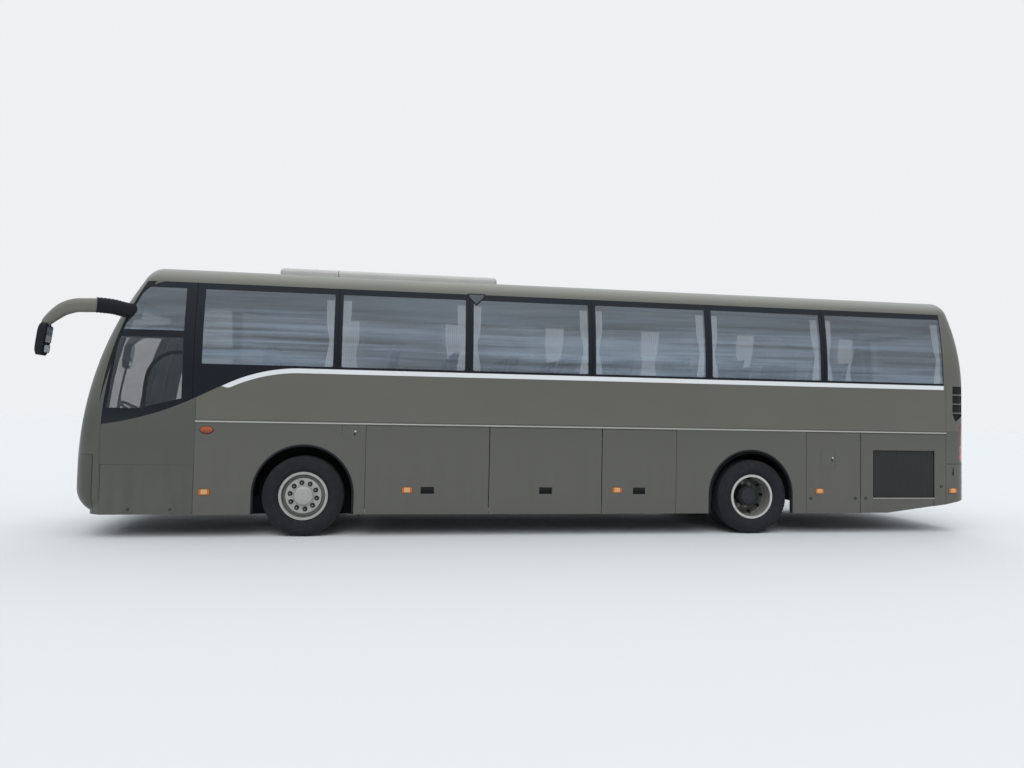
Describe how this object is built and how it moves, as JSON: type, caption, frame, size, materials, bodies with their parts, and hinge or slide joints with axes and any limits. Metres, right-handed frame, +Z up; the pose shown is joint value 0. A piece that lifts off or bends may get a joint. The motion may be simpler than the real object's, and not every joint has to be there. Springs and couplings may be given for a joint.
{
  "type": "two-axle touring coach",
  "caption": "Rear-engined touring coach with a hollow body, underfloor luggage bays, hinged flaps, swinging passenger doors and steered front wheels.",
  "frame": {"origin": "on the ground, at the middle of the overall length and width", "axes": "+X forward, +Y towards the driver's side (left), +Z up"},
  "size_m": [12.58, 3.1, 3.4997],
  "materials": {
    "body_paint": "metallic taupe paint",
    "tinted_glass": "dark tinted glass",
    "lamp_lens": "clear lens",
    "red_lens": "red lens",
    "amber_lens": "amber lens",
    "rail_metal": "thin bright rail",
    "black_plastic": "black moulded plastic",
    "curtain_cloth": "pleated white curtain cloth",
    "seat_cloth": "woven seat cloth",
    "grey_plastic": "grey moulded plastic",
    "chassis_paint": "black chassis paint",
    "deck_panel": "sheet and floor panels",
    "engine_iron": "cast engine block",
    "wheel_steel": "silver painted steel wheel",
    "tyre": "rubber tyre"
  },
  "bodies": {
    "coach": {"frame": "chassis_paint", "floor": "deck_panel", "lower_deck": "deck_panel", "wheel_housings": "chassis_paint", "left_side": "body_paint", "right_side": "body_paint", "roof": "body_paint", "front_end": "body_paint", "rear_end": "body_paint", "bumpers": "body_paint", "glazing": "tinted_glass", "curtains": "curtain_cloth", "wipers": "black_plastic", "headlamps": "lamp_lens", "tail_lamps": "red_lens", "side_lamps": "amber_lens", "side_trim": "rail_metal", "roof_cooler": "body_paint", "mirrors": "black_plastic", "seats": "seat_cloth", "dashboard": "grey_plastic", "luggage_racks": "grey_plastic", "front_axle": "chassis_paint", "rear_axle": "chassis_paint", "engine": "engine_iron", "door_bearings": "chassis_paint"},
    "knuckle_left": {"knuckle_left": "chassis_paint"},
    "front_wheel_left": {"front_rim_left": "wheel_steel", "front_tyre_left": "tyre"},
    "rear_wheels_left": {"rear_rim_left": "wheel_steel", "rear_tyre_left": "tyre"},
    "knuckle_right": {"knuckle_right": "chassis_paint"},
    "front_wheel_right": {"front_rim_right": "wheel_steel", "front_tyre_right": "tyre"},
    "rear_wheels_right": {"rear_rim_right": "wheel_steel", "rear_tyre_right": "tyre"},
    "luggage_door_left_1": {"luggage_door_left_1": "body_paint"},
    "luggage_door_left_2": {"luggage_door_left_2": "body_paint"},
    "luggage_door_left_3": {"luggage_door_left_3": "body_paint"},
    "luggage_door_right_1": {"luggage_door_right_1": "body_paint"},
    "luggage_door_right_2": {"luggage_door_right_2": "body_paint"},
    "cab_hatch": {"cab_hatch": "body_paint"},
    "locker_door_left": {"locker_door_left": "body_paint"},
    "locker_door_right": {"locker_door_right": "body_paint"},
    "engine_side_door_left": {"engine_side_door_left": "body_paint"},
    "engine_side_door_right": {"engine_side_door_right": "body_paint"},
    "engine_door": {"engine_door": "body_paint"},
    "roof_hatch": {"roof_hatch": "body_paint"},
    "front_door_arms": {"front_door_arms": "chassis_paint"},
    "front_door": {"front_door": "body_paint", "front_door_glass": "tinted_glass"},
    "mid_door_arms": {"mid_door_arms": "chassis_paint"},
    "mid_door": {"mid_door": "body_paint", "mid_door_glass": "tinted_glass"}
  },
  "joints": [
    {"name": "steer_left", "type": "hinge", "parent": "coach", "child": "knuckle_left", "pos_m": [3.165, 0.905, 0.507], "axis": [0, 0, 1], "range_deg": [-42, 42]},
    {"name": "steer_right", "type": "hinge", "parent": "coach", "child": "knuckle_right", "pos_m": [3.165, -0.905, 0.507], "axis": [0, 0, 1], "range_deg": [-42, 42]},
    {"name": "front_wheel_left_spin", "type": "hinge", "parent": "knuckle_left", "child": "front_wheel_left", "pos_m": [3.165, 1.1025, 0.507], "axis": [0, 1, 0], "continuous": true},
    {"name": "rear_wheels_left_spin", "type": "hinge", "parent": "coach", "child": "rear_wheels_left", "pos_m": [-2.885, 0.9325, 0.507], "axis": [0, 1, 0], "continuous": true},
    {"name": "front_wheel_right_spin", "type": "hinge", "parent": "knuckle_right", "child": "front_wheel_right", "pos_m": [3.165, -1.1025, 0.507], "axis": [0, 1, 0], "continuous": true},
    {"name": "rear_wheels_right_spin", "type": "hinge", "parent": "coach", "child": "rear_wheels_right", "pos_m": [-2.885, -0.9325, 0.507], "axis": [0, 1, 0], "continuous": true},
    {"name": "luggage_door_left_1_hinge", "type": "hinge", "parent": "coach", "child": "luggage_door_left_1", "pos_m": [1.6075, 1.267, 1.409], "axis": [1, 0, 0], "range_deg": [0, 85]},
    {"name": "luggage_door_left_2_hinge", "type": "hinge", "parent": "coach", "child": "luggage_door_left_2", "pos_m": [0.05, 1.267, 1.409], "axis": [1, 0, 0], "range_deg": [0, 85]},
    {"name": "luggage_door_left_3_hinge", "type": "hinge", "parent": "coach", "child": "luggage_door_left_3", "pos_m": [-1.234, 1.267, 1.409], "axis": [1, 0, 0], "range_deg": [0, 85]},
    {"name": "luggage_door_right_1_hinge", "type": "hinge", "parent": "coach", "child": "luggage_door_right_1", "pos_m": [1.6075, -1.267, 1.409], "axis": [-1, 0, 0], "range_deg": [0, 85]},
    {"name": "luggage_door_right_2_hinge", "type": "hinge", "parent": "coach", "child": "luggage_door_right_2", "pos_m": [0.05, -1.267, 1.409], "axis": [-1, 0, 0], "range_deg": [0, 85]},
    {"name": "cab_hatch_hinge", "type": "hinge", "parent": "coach", "child": "cab_hatch", "pos_m": [5.013, 1.267, 0.877], "axis": [1, 0, 0], "range_deg": [0, 85]},
    {"name": "locker_door_left_hinge", "type": "hinge", "parent": "coach", "child": "locker_door_left", "pos_m": [-4.083, 1.267, 1.409], "axis": [1, 0, 0], "range_deg": [0, 85]},
    {"name": "locker_door_right_hinge", "type": "hinge", "parent": "coach", "child": "locker_door_right", "pos_m": [-4.083, -1.267, 1.409], "axis": [-1, 0, 0], "range_deg": [0, 85]},
    {"name": "engine_side_door_left_hinge", "type": "hinge", "parent": "coach", "child": "engine_side_door_left", "pos_m": [-5.176, 1.267, 1.409], "axis": [1, 0, 0], "range_deg": [0, 85]},
    {"name": "engine_side_door_right_hinge", "type": "hinge", "parent": "coach", "child": "engine_side_door_right", "pos_m": [-5.176, -1.267, 1.409], "axis": [-1, 0, 0], "range_deg": [0, 85]},
    {"name": "engine_door_hinge", "type": "hinge", "parent": "coach", "child": "engine_door", "pos_m": [-6.282, 0, 1.674], "axis": [0, 1, 0], "range_deg": [0, 80]},
    {"name": "roof_hatch_hinge", "type": "hinge", "parent": "coach", "child": "roof_hatch", "pos_m": [-3.351, 0, 3.40911], "axis": [0, 1, 0], "range_deg": [0, 60]},
    {"name": "front_door_arm_swing", "type": "hinge", "parent": "coach", "child": "front_door_arms", "pos_m": [5.405, -1.145, 0.9], "axis": [0, 0, 1], "range_deg": [0, 110]},
    {"name": "front_door_turn", "type": "hinge", "parent": "front_door_arms", "child": "front_door", "pos_m": [4.885, -1.145, 0.9], "axis": [0, 0, 1], "range_deg": [-110, 0]},
    {"name": "mid_door_arm_swing", "type": "hinge", "parent": "coach", "child": "mid_door_arms", "pos_m": [-1.567, -1.145, 0.9], "axis": [0, 0, -1], "range_deg": [0, 110]},
    {"name": "mid_door_turn", "type": "hinge", "parent": "mid_door_arms", "child": "mid_door", "pos_m": [-1.047, -1.145, 0.9], "axis": [0, 0, -1], "range_deg": [-110, 0]}
  ],
  "couplings": [
    {"joint": "steer_right", "follows": "steer_left", "ratio": 1},
    {"joint": "front_door_turn", "follows": "front_door_arm_swing", "ratio": -1},
    {"joint": "mid_door_turn", "follows": "mid_door_arm_swing", "ratio": -1}
  ]
}
